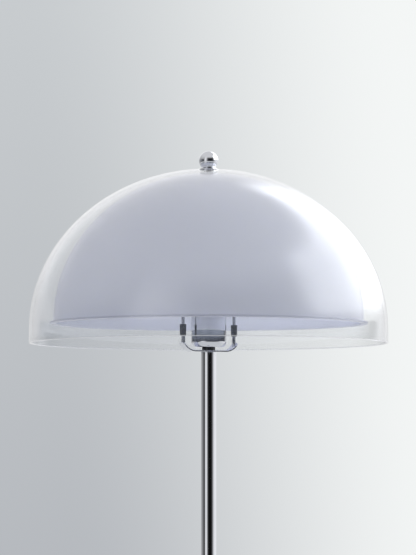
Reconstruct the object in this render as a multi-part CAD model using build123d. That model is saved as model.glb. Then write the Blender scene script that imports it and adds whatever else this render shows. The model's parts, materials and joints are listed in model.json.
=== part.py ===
from build123d import *

import os
from math import cos, radians, sin, sqrt

# Floor lamp with a clear dome over a white dome, both held on a wire harp by a ball finial.
# Millimetres. +Z is up, the harp lies along X, the cord inlet and the switch face +Y,
# and the origin is the centre of the base on the floor.

# ---------------------------------------------------------------- driving dimensions

# Base
base_diameter = 280.0
base_shoulder_height = 19.0
base_crown_rise = 13.0
base_shoulder_radius = 6.0
base_cover_wall = 1.2
base_rim_lift = 1.0
base_flat_margin = 4.0
felt_thickness = 2.0
felt_inset = 6.0
weight_thickness = 21.0
weight_pocket_radius = 24.0
weight_pocket_depth = 12.0
weight_boss_root = 1.0
base_washer_margin = 7.0
base_washer_thickness = 2.0
base_nipple_projection = 2.0
cord_channel_width = 11.0
cord_channel_depth = 11.5

# Cord inlet
cord_bore_diameter = 7.0
bushing_wall = 1.0
bushing_flange_width = 1.5
bushing_flange_thickness = 2.2
bushing_lip_width = 0.6
bushing_lip_thickness = 1.2
cord_inlet_height = 8.0

# Stem
stem_diameter = 15.9
stem_wall = 1.2
stem_tube_length = 579.0
plug_length = 14.0
nipple_diameter = 9.7
nipple_bore_diameter = 6.4
nipple_setback = 1.0
joint_nipple_length = 24.0
foot_collar_diameter = 44.0
foot_collar_height = 15.0
foot_collar_floor = 3.0
foot_collar_lip = 1.6
foot_collar_rim = 1.0

# Saddle, collar and socket cup
saddle_thickness = 1.6
saddle_width = 13.5
saddle_bend_radius = 15.2
saddle_bend_turn = 65.0
saddle_tip_overhang = 1.6
neck_collar_diameter = 13.8
neck_collar_height = 3.1
cup_diameter = 36.5
cup_wall = 1.0
cup_height = 67.0
cup_corner_radius = 5.7
locknut_thickness = 3.5
locknut_flats = 14.0
neck_nipple_rise = 8.0

# Socket
socket_flange_thickness = 3.0
contact_floor_height = 47.0
contact_thickness = 0.6
contact_button_diameter = 5.0
contact_button_height = 1.8
screw_shell_length = 21.0
screw_shell_wall = 0.4
wire_chamber_diameter = 14.0
wire_chamber_top = 33.0
terminal_height = 22.0
terminal_pocket_depth = 4.5
terminal_head_diameter = 5.6
terminal_head_thickness = 1.9
terminal_shank_diameter = 2.9
terminal_shank_length = 3.0
terminal_slot_width = 0.8

# Switch
switch_height = 41.0
switch_shaft_diameter = 4.0
switch_shaft_inner_end = 4.0
switch_bushing_diameter = 8.0
switch_bushing_projection = 4.5
switch_bushing_depth = 5.0
knob_diameter = 10.0
knob_length = 13.0
knob_gap = 0.8
knob_flutes = 12
knob_flute_radius = 0.8

# Bulb
bulb_length = 89.0
bulb_globe_diameter = 49.0
bulb_neck_diameter = 25.0
bulb_cap_diameter = 26.2
bulb_cap_length = 25.0
bulb_tip_diameter = 9.0
bulb_tip_height = 1.6
bulb_insulator_height = 4.0
bulb_insulator_margin = 1.0
bulb_glass_wall = 0.9

# Harp
harp_height = 180.7
wire_diameter = 3.2
leg_offset = 28.8
leg_foot_rise = 10.0
leg_straight_length = 32.0
leg_blend_radius = 25.0
bow_lean_out = 35.0
bow_lean_in = 20.0
bow_corner_radius = 30.0
harp_pad_diameter = 12.0
harp_pad_thickness = 2.4
post_wall = 0.65
post_height = 16.3
post_root_depth = 5.5
ferrule_foot = 6.5
ferrule_length = 11.8
ferrule_top_diameter = 6.9
ferrule_bottom_diameter = 6.3
ferrule_neck_length = 1.5

# Swivel stud and shade stack
stud_diameter = 6.35
stud_pivot_diameter = 4.8
stud_hub_flats = 9.5
stud_hub_height = 3.0
stud_engagement = 9.3
rivet_diameter = 9.0
rivet_thickness = 1.8
shade_rest_diameter = 22.0
shade_rest_thickness = 1.6
stack_washer_diameter = 22.0
stack_washer_thickness = 1.0

# Domes
dome_flat_radius = 12.0
outer_dome_diameter = 370.0
outer_dome_height = 180.0
outer_dome_skirt = 14.0
outer_dome_wall = 3.0
inner_dome_diameter = 320.0
inner_dome_height = 156.0
inner_dome_skirt = 4.0
inner_dome_wall = 3.0
inner_dome_lip_diameter = 328.0
inner_dome_lip_thickness = 2.2
rim_rounding = 0.9

# Finial
finial_diameter = 20.0
finial_foot_diameter = 11.6
finial_washer_diameter = 18.5
finial_washer_thickness = 1.0
finial_bore_spare = 2.0

# Clearances
turning_fit = 0.05
sliding_fit = 0.10
thread_fit = 0.10
press_seat = 0.02
swivel_gap = 0.20
nest_gap = 0.60
bore_gap = 0.40
rivet_seat_gap = 0.20
edge_break = 0.4

# ---------------------------------------------------------------- heights of the stack

base_radius = base_diameter / 2
crown_radius = (base_radius**2 + base_crown_rise**2) / (2 * base_crown_rise)
crown_centre_z = base_shoulder_height + base_crown_rise - crown_radius
base_flat_radius = foot_collar_diameter / 2 + base_flat_margin
base_top = crown_centre_z + sqrt(crown_radius**2 - base_flat_radius**2)
weight_top = felt_thickness + weight_thickness
pocket_top = felt_thickness + weight_pocket_depth
base_nipple_foot = pocket_top - base_washer_thickness - locknut_thickness - base_nipple_projection

stem_foot = base_top + foot_collar_floor
stem_joint = stem_foot + stem_tube_length
stem_top = stem_joint + stem_tube_length

collar_foot = stem_top + saddle_thickness
cup_foot = collar_foot + neck_collar_height
cup_floor = cup_foot + cup_wall
cup_top = cup_foot + cup_height
socket_foot = cup_floor + locknut_thickness
neck_nipple_top = socket_foot + neck_nipple_rise
contact_floor = cup_foot + contact_floor_height
bulb_tip = contact_floor + contact_thickness + contact_button_height + sliding_fit
bulb_glass_foot = bulb_tip + bulb_tip_height + bulb_insulator_height
switch_z = cup_foot + switch_height

shade_rest_top = stem_top + harp_height
shade_rest_foot = shade_rest_top - shade_rest_thickness
harp_pad_top = shade_rest_foot - stud_hub_height - swivel_gap
harp_pad_foot = harp_pad_top - harp_pad_thickness
wire_top_z = (harp_pad_top + harp_pad_foot) / 2

inner_dome_top = shade_rest_top + stack_washer_thickness + inner_dome_wall
outer_dome_top = inner_dome_top + stack_washer_thickness + outer_dome_wall
finial_foot = outer_dome_top + finial_washer_thickness
stud_top = finial_foot + stud_engagement

# ---------------------------------------------------------------- shared radii

stem_radius = stem_diameter / 2
stem_bore_radius = stem_radius - stem_wall
nipple_radius = nipple_diameter / 2
nipple_bore_radius = nipple_bore_diameter / 2
nipple_hole_radius = nipple_radius + thread_fit
cup_radius = cup_diameter / 2
cup_bore_radius = cup_radius - cup_wall
socket_radius = cup_bore_radius - sliding_fit
bulb_cap_radius = bulb_cap_diameter / 2
screw_shell_bore = bulb_cap_radius + sliding_fit
screw_shell_radius = screw_shell_bore + screw_shell_wall
wire_radius = wire_diameter / 2
post_bore_radius = wire_radius + turning_fit
post_radius = post_bore_radius + post_wall
ferrule_bore_radius = post_radius + sliding_fit
stud_radius = stud_diameter / 2
stud_hole_radius = stud_radius + sliding_fit
switch_shaft_radius = switch_shaft_diameter / 2
switch_bore_radius = switch_shaft_radius + turning_fit
switch_bushing_radius = switch_bushing_diameter / 2
bushing_radius = cord_bore_diameter / 2 + bushing_wall
leg_foot_z = stem_top + leg_foot_rise

# ---------------------------------------------------------------- shape helpers

STANDING = (Align.CENTER, Align.CENTER, Align.MIN)


def rod(radius, bottom, top):
    """Upright round bar between two heights."""
    return Pos(0, 0, bottom) * Cylinder(radius, top - bottom, align=STANDING)


def ring(radius, bore, bottom, top):
    """Upright round bar with a round bore."""
    return rod(radius, bottom, top) - rod(bore, bottom, top)


def hex_nut(flats, bore, bottom, top):
    """Upright hexagon nut, measured across its flats, with softened rims."""
    outline = RegularPolygon(flats / 2, 6, major_radius=False)
    nut = Pos(0, 0, bottom) * extrude(outline, top - bottom)
    corner_radius = flats / 2 / cos(radians(30))
    softener = chamfer(rod(corner_radius, bottom, top).edges().filter_by(GeomType.CIRCLE), edge_break)
    return (nut & softener) - rod(bore, bottom, top)


def lathe(outline):
    """Solid turned about the lamp's axis from an outline drawn as radius and height."""
    return revolve(Plane.XZ * outline, Axis.Z)


def block(inner, outer, bottom, top):
    """Rectangle in the radius and height plane."""
    return Pos((inner + outer) / 2, (bottom + top) / 2) * Rectangle(outer - inner, top - bottom)


def rearward(shape, height):
    """Lay an upright shape along +Y at the given height."""
    return Pos(0, 0, height) * Rot(-90, 0, 0) * shape


def circles_at(shape, height):
    """Circular edges of a shape that lie level at a height."""
    level = [edge for edge in shape.edges().filter_by(GeomType.CIRCLE)
             if abs(edge.bounding_box().min.Z - height) < 0.01
             and abs(edge.bounding_box().max.Z - height) < 0.01]
    return ShapeList(level)


# ---------------------------------------------------------------- base


def base_form(inset):
    """Solid outline of the base: a drum under a shallow crown with a flat for the collar."""
    drum = rod(base_radius - inset, base_rim_lift, base_top - inset)
    crown = Pos(0, 0, crown_centre_z) * Sphere(crown_radius - inset)
    form = drum & crown
    rims = [edge for edge in form.edges().filter_by(GeomType.CIRCLE)
            if edge.bounding_box().max.Z > base_rim_lift + 1
            and edge.radius > base_flat_radius * 2]
    return fillet(ShapeList(rims), base_shoulder_radius - inset)


def make_base_felt():
    """Felt disc that the lamp stands on."""
    return rod(base_radius - felt_inset, 0, felt_thickness)


def make_base_weight():
    """Cast iron disc, with a pocket for the nut below and a channel for the cord."""
    form = base_form(base_cover_wall + nest_gap)
    body = form & rod(base_radius, felt_thickness, weight_top)
    boss = rod(base_flat_radius, weight_top - weight_boss_root, base_top - base_cover_wall)
    pocket = rod(weight_pocket_radius, felt_thickness, pocket_top)
    channel = Box(cord_channel_width, base_radius, cord_channel_depth,
                  align=(Align.CENTER, Align.MIN, Align.MIN))
    return body + boss - pocket - Pos(0, 0, felt_thickness) * channel - rod(nipple_hole_radius, 0, base_top)


def make_base_cover():
    """Spun steel cover over the weight, holed for the nipple and the cord bushing."""
    hollow = base_form(base_cover_wall)
    shell = base_form(0) - hollow - rod(nipple_hole_radius, 0, base_top)
    return shell - rearward(rod(bushing_radius + press_seat, 0, base_diameter), cord_inlet_height)


def make_cord_bushing():
    """Flanged bushing that the cord enters the base through."""
    lip_front = base_radius - base_cover_wall
    sleeve = rod(bushing_radius, lip_front - bushing_lip_thickness, base_radius + bushing_flange_thickness)
    lip = rod(bushing_radius + bushing_lip_width, lip_front - bushing_lip_thickness - nest_gap,
              lip_front - nest_gap)
    flange = rod(bushing_radius + bushing_flange_width, base_radius, base_radius + bushing_flange_thickness)
    flange = fillet(circles_at(flange, base_radius + bushing_flange_thickness), edge_break * 2)
    bore = rod(cord_bore_diameter / 2, 0, base_diameter)
    return rearward(sleeve + lip + flange - bore, cord_inlet_height)


def make_base_nipple():
    """Threaded tube that clamps weight, cover and foot collar to the stem."""
    return ring(nipple_radius, nipple_bore_radius, base_nipple_foot, stem_foot + plug_length - nipple_setback)


def make_base_washer():
    """Steel washer under the weight."""
    return ring(weight_pocket_radius - base_washer_margin, nipple_hole_radius,
                pocket_top - base_washer_thickness, pocket_top)


def make_base_locknut():
    """Nut that draws the base together."""
    top = pocket_top - base_washer_thickness
    return hex_nut(locknut_flats, nipple_radius, top - locknut_thickness, top)


# ---------------------------------------------------------------- stem


def make_foot_collar():
    """Turned collar at the foot of the stem, with a socket for the tube."""
    foot_radius = foot_collar_diameter / 2
    neck_radius = stem_radius + foot_collar_lip
    top = base_top + foot_collar_height
    land = base_top + foot_collar_floor
    rim = top - foot_collar_rim
    sweep_up = RadiusArc((foot_radius, land), (neck_radius, rim), -foot_collar_height)
    outline = make_face(
        Polyline((neck_radius, rim), (neck_radius, top), (0, top), (0, base_top), (foot_radius, base_top),
                 (foot_radius, land))
        + sweep_up
    )
    tube_socket = rod(stem_radius + press_seat, stem_foot, top)
    return lathe(outline) - tube_socket - rod(nipple_hole_radius, base_top, top)


def stem_tube(bottom):
    """One polished tube of the stem."""
    return ring(stem_radius, stem_bore_radius, bottom, bottom + stem_tube_length)


def tube_plug(bottom):
    """Threaded plug pressed into the end of a tube."""
    return ring(stem_bore_radius, nipple_radius, bottom, bottom + plug_length)


def make_joint_nipple():
    """Threaded tube that joins the two stem tubes."""
    half = joint_nipple_length / 2
    return ring(nipple_radius, nipple_bore_radius, stem_joint - half, stem_joint + half)


def make_neck_nipple():
    """Threaded tube that clamps saddle, collar and cup to the stem."""
    return ring(nipple_radius, nipple_bore_radius, stem_top - plug_length + nipple_setback, neck_nipple_top)


# ---------------------------------------------------------------- saddle and harp


def leg_foot(side):
    """Place on the saddle where a harp leg stands."""
    return Pos(side * leg_offset, 0, leg_foot_z)


def make_harp_saddle():
    """Strap that rises to two flared tips, with a half-round post on each for a harp leg."""
    strap_z = stem_top + saddle_thickness / 2
    turn = radians(saddle_bend_turn)
    bend_start = leg_offset + saddle_tip_overhang - saddle_bend_radius * sin(turn)
    level = Line((0, strap_z), (bend_start, strap_z))
    bend = JernArc(level @ 1, level % 1, saddle_bend_radius, saddle_bend_turn)
    half = extrude(Plane.XZ * trace(Wire([level, bend]), saddle_thickness), saddle_width / 2, both=True)
    tip_z = strap_z + saddle_bend_radius * (1 - cos(turn))
    corners = half.edges().filter_by(lambda edge: edge.center().Z > tip_z - saddle_thickness
                                     and abs(edge.length - saddle_thickness) < 0.01)
    half = fillet(corners, saddle_width / 4)
    saddle = half + mirror(half, Plane.YZ)
    for side in (-1, 1):
        width = 2 * post_radius
        post = ring(post_radius, post_bore_radius, 0, post_height)
        open_side = Pos(side * post_radius, 0, 0) * Box(width, width, post_height, align=STANDING)
        bend_core = Pos(side * bend_start, 0, strap_z + saddle_bend_radius) * Rot(90, 0, 0) * Cylinder(
            saddle_bend_radius, saddle_width)
        root = leg_foot(side) * rod(post_radius, -post_root_depth, 0) & bend_core
        saddle += root + leg_foot(side) * (post - open_side)
    return saddle - rod(nipple_hole_radius, 0, cup_foot)


def make_neck_collar():
    """Dark collar between the saddle and the socket cup."""
    collar = ring(neck_collar_diameter / 2, nipple_hole_radius, collar_foot, cup_foot)
    return fillet(circles_at(collar, collar_foot) + circles_at(collar, cup_foot), edge_break)


def pad_zone(margin):
    """Flattened round crown of the harp, or the space over and under it."""
    return rod(harp_pad_diameter / 2, harp_pad_foot - margin, harp_pad_top + margin)


def make_harp_bow():
    """Sprung wire bow: two straight legs, full sides and a flattened crown with the pivot hole."""
    out = radians(bow_lean_out)
    inward = radians(bow_lean_in)
    leg_top = leg_foot_z + leg_straight_length
    blend_top = leg_top + leg_blend_radius * sin(out)
    corner_rise = bow_corner_radius * (1 - sin(inward))
    side_radius = (wire_top_z - blend_top - corner_rise) / (sin(out) + sin(inward))

    leg = Line((leg_offset, leg_foot_z), (leg_offset, leg_top))
    blend = JernArc(leg @ 1, leg % 1, leg_blend_radius, -bow_lean_out)
    side = JernArc(blend @ 1, blend % 1, side_radius, bow_lean_out + bow_lean_in)
    corner = JernArc(side @ 1, side % 1, bow_corner_radius, 90 - bow_lean_in)
    crown = Line(corner @ 1, (0, wire_top_z))
    path = Plane.XZ * Wire([leg, blend, side, corner, crown])
    half = sweep(Plane(path @ 0, z_dir=path % 0) * Circle(wire_radius), path)
    pivot_hole = rod(stud_pivot_diameter / 2 + turning_fit, harp_pad_foot - wire_diameter,
                     harp_pad_top + wire_diameter)
    bow = half + mirror(half, Plane.YZ) - pad_zone(wire_diameter) + pad_zone(0)
    return bow - pivot_hole


def make_harp_ferrule(side):
    """Tapered sleeve that slides down over a leg and its post."""
    bottom = ferrule_foot
    top = ferrule_foot + ferrule_length
    sleeve = Pos(0, 0, bottom) * Cone(ferrule_bottom_diameter / 2, ferrule_top_diameter / 2, ferrule_length,
                                      align=STANDING)
    sleeve = fillet(circles_at(sleeve, top), edge_break)
    cavity = rod(ferrule_bore_radius, bottom, top - ferrule_neck_length)
    neck = rod(wire_radius + turning_fit, bottom, top)
    return leg_foot(side) * (sleeve - cavity - neck)


# ---------------------------------------------------------------- socket


def make_socket_cup():
    """Polished cup round the lamp socket."""
    form = rod(cup_radius, cup_foot, cup_top)
    form = fillet(circles_at(form, cup_foot), cup_corner_radius)
    hollow = rod(cup_bore_radius, cup_floor, cup_top)
    hollow = fillet(circles_at(hollow, cup_floor), cup_corner_radius - cup_wall)
    switch_hole = rearward(rod(switch_bushing_radius + press_seat, 0, cup_diameter), switch_z)
    return form - hollow - rod(nipple_hole_radius, cup_foot, cup_floor) - switch_hole


def make_socket_locknut():
    """Nut that clamps the cup to the neck."""
    return hex_nut(locknut_flats, nipple_radius, cup_floor, socket_foot)


def make_socket_body():
    """Moulded insulator that carries the screw shell, contact, terminals and switch."""
    foot_rounding = cup_corner_radius - cup_wall
    body = rod(socket_radius, socket_foot, cup_top)
    body = fillet(circles_at(body, socket_foot), foot_rounding)
    flange = rod(cup_radius, cup_top, cup_top + socket_flange_thickness)
    flange = fillet(circles_at(flange, cup_top + socket_flange_thickness), edge_break * 2)
    body += flange
    body -= rod(screw_shell_radius + press_seat, contact_floor, cup_top + socket_flange_thickness)
    body -= rod(nipple_hole_radius, socket_foot, neck_nipple_top)
    body -= rod(wire_chamber_diameter / 2, neck_nipple_top, cup_foot + wire_chamber_top)
    body -= rearward(rod(switch_bore_radius, switch_shaft_inner_end - turning_fit, cup_diameter), switch_z)
    body -= rearward(rod(switch_bushing_radius + press_seat, cup_bore_radius - switch_bushing_depth,
                         cup_diameter), switch_z)
    for side in (-1, 1):
        body -= terminal_axis(side) * rod(terminal_head_diameter / 2 + bore_gap, 0, terminal_pocket_depth * 2)
        body -= terminal_axis(side) * rod(terminal_shank_diameter / 2, -terminal_shank_length, 0)
    return body


def terminal_axis(side):
    """Seat of a terminal screw in the socket body, with +Z pointing outwards."""
    seat = Pos(side * (socket_radius - terminal_pocket_depth), 0, cup_foot + terminal_height)
    return seat * Rot(0, side * 90, 0)


def make_terminal_screws():
    """The two slotted screws that hold the wires."""
    screws = []
    for side in (-1, 1):
        head = rod(terminal_head_diameter / 2, 0, terminal_head_thickness)
        slot = Pos(0, 0, terminal_head_thickness) * Box(
            terminal_head_diameter, terminal_slot_width, terminal_head_thickness)
        shank = rod(terminal_shank_diameter / 2, -terminal_shank_length, 0)
        screws.append(terminal_axis(side) * (head - slot + shank))
    return Compound(children=screws)


def make_screw_shell():
    """Threaded sleeve that the bulb screws into."""
    return ring(screw_shell_radius, screw_shell_bore, contact_floor, contact_floor + screw_shell_length)


def make_centre_contact():
    """Spring contact on the socket's floor."""
    plate = rod(contact_button_diameter, contact_floor, contact_floor + contact_thickness)
    plate_top = contact_floor + contact_thickness
    button = rod(contact_button_diameter / 2, plate_top, plate_top + contact_button_height)
    return plate + fillet(circles_at(button, plate_top + contact_button_height), edge_break)


# ---------------------------------------------------------------- switch


def make_switch_bushing():
    """Bushing through the cup's wall that the switch shaft turns in."""
    inner = cup_bore_radius - switch_bushing_depth
    return rearward(ring(switch_bushing_radius, switch_bore_radius, inner,
                         cup_radius + switch_bushing_projection), switch_z)


def make_switch_shaft():
    """Shaft from the switch to its knob."""
    knob_foot = cup_radius + switch_bushing_projection + knob_gap
    return rearward(rod(switch_shaft_radius, switch_shaft_inner_end, knob_foot + knob_length / 2), switch_z)


def make_switch_knob():
    """Fluted knob pressed on the shaft."""
    foot = cup_radius + switch_bushing_projection + knob_gap
    knob = rod(knob_diameter / 2, foot, foot + knob_length)
    knob = fillet(circles_at(knob, foot) + circles_at(knob, foot + knob_length), edge_break * 2)
    flutes = PolarLocations(knob_diameter / 2 + knob_flute_radius / 2, knob_flutes)
    knob -= [place * rod(knob_flute_radius, foot, foot + knob_length) for place in flutes]
    return rearward(knob - rod(switch_shaft_radius, foot, foot + knob_length / 2), switch_z)


# ---------------------------------------------------------------- bulb


def bulb_outline(inset):
    """Half section of the bulb's glass, drawn in by inset."""
    neck = bulb_neck_diameter / 2 - inset
    globe = bulb_globe_diameter / 2 - inset
    neck_z = bulb_glass_foot
    globe_z = bulb_tip + bulb_length - bulb_globe_diameter / 2
    shoulder_z = bulb_tip + bulb_cap_length
    drop = globe_z - shoulder_z
    blend = (neck**2 + drop**2 - globe**2) / (2 * (globe - neck))
    share = globe / (globe + blend)
    joint = ((neck + blend) * share, globe_z - drop * share)
    outline = Line((0, neck_z), (neck, neck_z)) + Line((neck, neck_z), (neck, shoulder_z))
    outline += TangentArc((neck, shoulder_z), joint, tangent=(0, 1))
    outline += ThreePointArc(joint, (globe, globe_z), (0, globe_z + globe))
    outline += Line((0, globe_z + globe), (0, neck_z))
    return make_face(outline)


def make_bulb_glass():
    """Thin glass envelope of the bulb, open where the cap closes it."""
    return lathe(bulb_outline(0)) - lathe(bulb_outline(bulb_glass_wall))


def make_bulb_cap():
    """Screw cap of the bulb."""
    cap = ring(bulb_cap_radius, bulb_neck_diameter / 2, bulb_glass_foot, bulb_tip + bulb_cap_length)
    return fillet(circles_at(cap, bulb_glass_foot).sort_by(SortBy.RADIUS)[-1:], edge_break)


def make_bulb_insulator():
    """Glass ring between the cap and the tip contact."""
    narrow = bulb_tip_diameter / 2 + bulb_insulator_margin
    wide = bulb_neck_diameter / 2 - edge_break
    return Pos(0, 0, bulb_tip + bulb_tip_height) * Cone(narrow, wide, bulb_insulator_height, align=STANDING)


def make_bulb_contact():
    """Tip contact of the bulb."""
    tip = rod(bulb_tip_diameter / 2, bulb_tip, bulb_tip + bulb_tip_height)
    return fillet(circles_at(tip, bulb_tip), edge_break * 2)


# ---------------------------------------------------------------- swivel stud and shades


def make_swivel_stud():
    """Stud that turns in the harp's crown and carries shades and finial."""
    pivot = rod(stud_pivot_diameter / 2, harp_pad_foot - rivet_seat_gap, harp_pad_top + swivel_gap)
    hub = hex_nut(stud_hub_flats, 0, harp_pad_top + swivel_gap, shade_rest_foot)
    thread = rod(stud_radius, shade_rest_foot, stud_top)
    thread = chamfer(circles_at(thread, stud_top), edge_break * 2)
    return pivot + hub + thread


def make_swivel_rivet():
    """Riveted head that keeps the stud in the harp."""
    top = harp_pad_foot - rivet_seat_gap
    head = rod(rivet_diameter / 2, top - rivet_thickness, top)
    return fillet(circles_at(head, top - rivet_thickness), rivet_thickness / 2)


def stack_washer(bottom, thickness, diameter):
    """Flat washer on the stud."""
    washer = ring(diameter / 2, stud_hole_radius, bottom, bottom + thickness)
    outer_rims = washer.edges().filter_by(GeomType.CIRCLE).filter_by(lambda edge: edge.radius > diameter / 3)
    return fillet(outer_rims, thickness / 4)


def dome_outline(radius, top, rim, skirt):
    """Half section of a dome: a straight skirt under a half ellipse with a small flat on top."""
    equator = rim + skirt
    rise = (top - equator) / sqrt(1 - (dome_flat_radius / radius)**2)
    crown = Pos(0, equator) * Ellipse(radius, rise) & block(0, radius, equator, top)
    return crown + block(0, radius, rim, equator)


def make_dome(diameter, wall, top, height, skirt, lip_radius, lip_thickness):
    """Dome of even wall, bored for the stud, with an optional lip round its rim."""
    radius = diameter / 2
    rim = top - height
    section = dome_outline(radius, top, rim, skirt)
    if lip_radius > radius:
        section += block(radius - wall, lip_radius, rim, rim + lip_thickness)
    section -= dome_outline(radius - wall, top - wall, rim, skirt)
    section -= block(0, stud_hole_radius, top - 2 * wall, top)
    dome = lathe(section)
    return fillet(circles_at(dome, rim), rim_rounding)


def make_finial_ball():
    """Polished ball with a threaded bore and a small flat foot."""
    centre_z = finial_foot + sqrt((finial_diameter / 2)**2 - (finial_foot_diameter / 2)**2)
    ball = Pos(0, 0, centre_z) * Sphere(finial_diameter / 2)
    ball &= rod(finial_diameter, finial_foot, centre_z + finial_diameter)
    return ball - rod(stud_hole_radius, finial_foot, stud_top + finial_bore_spare)


# ---------------------------------------------------------------- write one file per piece

parts = {
    "base_felt": make_base_felt(),
    "base_weight": make_base_weight(),
    "base_cover": make_base_cover(),
    "cord_bushing": make_cord_bushing(),
    "base_nipple": make_base_nipple(),
    "base_washer": make_base_washer(),
    "base_locknut": make_base_locknut(),
    "foot_collar": make_foot_collar(),
    "stem_lower_tube": stem_tube(stem_foot),
    "stem_upper_tube": stem_tube(stem_joint),
    "foot_plug": tube_plug(stem_foot),
    "lower_joint_plug": tube_plug(stem_joint - plug_length),
    "upper_joint_plug": tube_plug(stem_joint),
    "top_plug": tube_plug(stem_top - plug_length),
    "joint_nipple": make_joint_nipple(),
    "neck_nipple": make_neck_nipple(),
    "harp_saddle": make_harp_saddle(),
    "neck_collar": make_neck_collar(),
    "socket_cup": make_socket_cup(),
    "socket_locknut": make_socket_locknut(),
    "socket_body": make_socket_body(),
    "terminal_screws": make_terminal_screws(),
    "screw_shell": make_screw_shell(),
    "centre_contact": make_centre_contact(),
    "switch_bushing": make_switch_bushing(),
    "switch_shaft": make_switch_shaft(),
    "switch_knob": make_switch_knob(),
    "bulb_glass": make_bulb_glass(),
    "bulb_cap": make_bulb_cap(),
    "bulb_insulator": make_bulb_insulator(),
    "bulb_contact": make_bulb_contact(),
    "harp_bow": make_harp_bow(),
    "harp_ferrule_left": make_harp_ferrule(-1),
    "harp_ferrule_right": make_harp_ferrule(1),
    "swivel_stud": make_swivel_stud(),
    "swivel_rivet": make_swivel_rivet(),
    "shade_rest": stack_washer(shade_rest_foot, shade_rest_thickness, shade_rest_diameter),
    "rest_washer": stack_washer(shade_rest_top, stack_washer_thickness, stack_washer_diameter),
    "inner_dome": make_dome(inner_dome_diameter, inner_dome_wall, inner_dome_top, inner_dome_height,
                            inner_dome_skirt, inner_dome_lip_diameter / 2, inner_dome_lip_thickness),
    "dome_spacer": stack_washer(inner_dome_top, stack_washer_thickness, stack_washer_diameter),
    "outer_dome": make_dome(outer_dome_diameter, outer_dome_wall, outer_dome_top, outer_dome_height,
                            outer_dome_skirt, 0, 0),
    "finial_washer": stack_washer(outer_dome_top, finial_washer_thickness, finial_washer_diameter),
    "finial_ball": make_finial_ball(),
}

os.makedirs("parts", exist_ok=True)
for name, shape in parts.items():
    export_step(shape, f"parts/{name}.step")
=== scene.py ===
import json
from math import acos, asin, atan2, cos, degrees, pi, radians, sin, sqrt

import bmesh
import bpy
from mathutils import Matrix, Vector


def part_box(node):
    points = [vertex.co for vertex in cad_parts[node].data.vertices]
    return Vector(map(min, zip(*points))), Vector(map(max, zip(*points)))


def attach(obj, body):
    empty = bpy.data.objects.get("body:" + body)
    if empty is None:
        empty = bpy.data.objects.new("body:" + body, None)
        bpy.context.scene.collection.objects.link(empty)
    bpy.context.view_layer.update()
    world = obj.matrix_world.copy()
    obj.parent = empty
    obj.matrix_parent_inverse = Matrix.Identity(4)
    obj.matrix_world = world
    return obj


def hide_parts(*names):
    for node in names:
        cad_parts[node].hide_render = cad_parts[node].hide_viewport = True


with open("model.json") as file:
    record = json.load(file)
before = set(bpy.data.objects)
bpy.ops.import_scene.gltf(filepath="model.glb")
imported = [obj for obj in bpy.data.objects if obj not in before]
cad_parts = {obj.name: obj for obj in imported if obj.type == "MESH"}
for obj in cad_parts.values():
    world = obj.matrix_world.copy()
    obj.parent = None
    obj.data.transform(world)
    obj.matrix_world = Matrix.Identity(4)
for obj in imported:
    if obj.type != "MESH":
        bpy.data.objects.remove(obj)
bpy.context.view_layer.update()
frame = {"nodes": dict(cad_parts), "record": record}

# Floor lamp with a clear dome over a white dome, both held on a wire harp by a ball finial.
# Metres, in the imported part's own frame: +Z is up, the harp lies along X, the switch and the
# cord inlet face +Y. A section is a list of (radius, height) points, drawn round a closed loop.

MM = 0.001
PHOTO_WIDTH, PHOTO_HEIGHT = 416, 555


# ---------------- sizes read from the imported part


def foot(node):
    """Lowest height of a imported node."""
    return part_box(node)[0].z


def head(node):
    """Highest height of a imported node."""
    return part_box(node)[1].z


def radius(node):
    """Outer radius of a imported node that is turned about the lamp's axis."""
    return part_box(node)[1].x


stem_top = head("stem_upper_tube")
stem_radius = radius("stem_upper_tube")
cup_foot = foot("socket_cup")
cup_top = head("socket_cup")
cup_radius = radius("socket_cup")
leg_foot_z = foot("harp_bow")
switch_z = (foot("switch_knob") + head("switch_knob")) / 2
inlet_z = (foot("cord_bushing") + head("cord_bushing")) / 2

# ---------------- sizes that no node's box gives

STUD_HOLE = 3.275 * MM
NIPPLE_HOLE = 4.95 * MM
STUD_RADIUS = 3.175 * MM
STEM_WALL = 1.2 * MM
COVER_WALL = 1.2 * MM
BASE_SHOULDER_HEIGHT = 19.0 * MM
BASE_SHOULDER = 6.0 * MM
BASE_CROWN_RISE = 13.0 * MM
BASE_FLAT_MARGIN = 4.0 * MM
COLLAR_LIP = 1.6 * MM
COLLAR_RIM = 1.0 * MM
COLLAR_CURVE = 15.0 * MM
INLET_BORE = 3.5 * MM
INLET_SLEEVE = 4.5 * MM
CUP_WALL = 1.0 * MM
CUP_ROUNDING = 5.7 * MM
WIRE_RADIUS = 1.6 * MM
LEG_OFFSET = 28.8 * MM
LEG_STRAIGHT = 32.0 * MM
LEG_BLEND = 25.0 * MM
HARP_CORNER = 30.0 * MM
LEAN_OUT, LEAN_IN = 35, 20  # degrees that the legs splay, and then close in again
# Where the wire is pressed flat: millimetres outside the pad's edge, and the share of thickness left
FLATTENED = ((2.2, 1.0), (1.4, 0.94), (0.4, 0.82), (-0.6, 0.745), (-2.0, 0.745))
PAD_RADIUS = 6.0 * MM
PAD_THICKNESS = 2.4 * MM
PAD_CLEARANCE = 0.2 * MM
PIVOT_HOLE = 2.45 * MM
SADDLE_THICKNESS = 1.6 * MM
SADDLE_WIDTH = 13.5 * MM
SADDLE_BEND = 15.2 * MM
SADDLE_TURN = radians(65)
POST_BORE = 1.65 * MM
POST_RADIUS = 2.3 * MM
POST_HEIGHT = 16.3 * MM
SLEEVE_BORE = 2.4 * MM
SLEEVE_NARROW, SLEEVE_WIDE = 3.15 * MM, 3.45 * MM
SLEEVE_NECK = 1.5 * MM
INSULATOR_RADIUS = 17.15 * MM
INSULATOR_ROUNDING = 4.7 * MM
SHELL_SEAT = 13.64 * MM
SHELL_WALL = 0.4 * MM
LAMP_PITCH = 3.6 * MM      # of the screw shell's and the bulb cap's rolled thread
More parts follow.
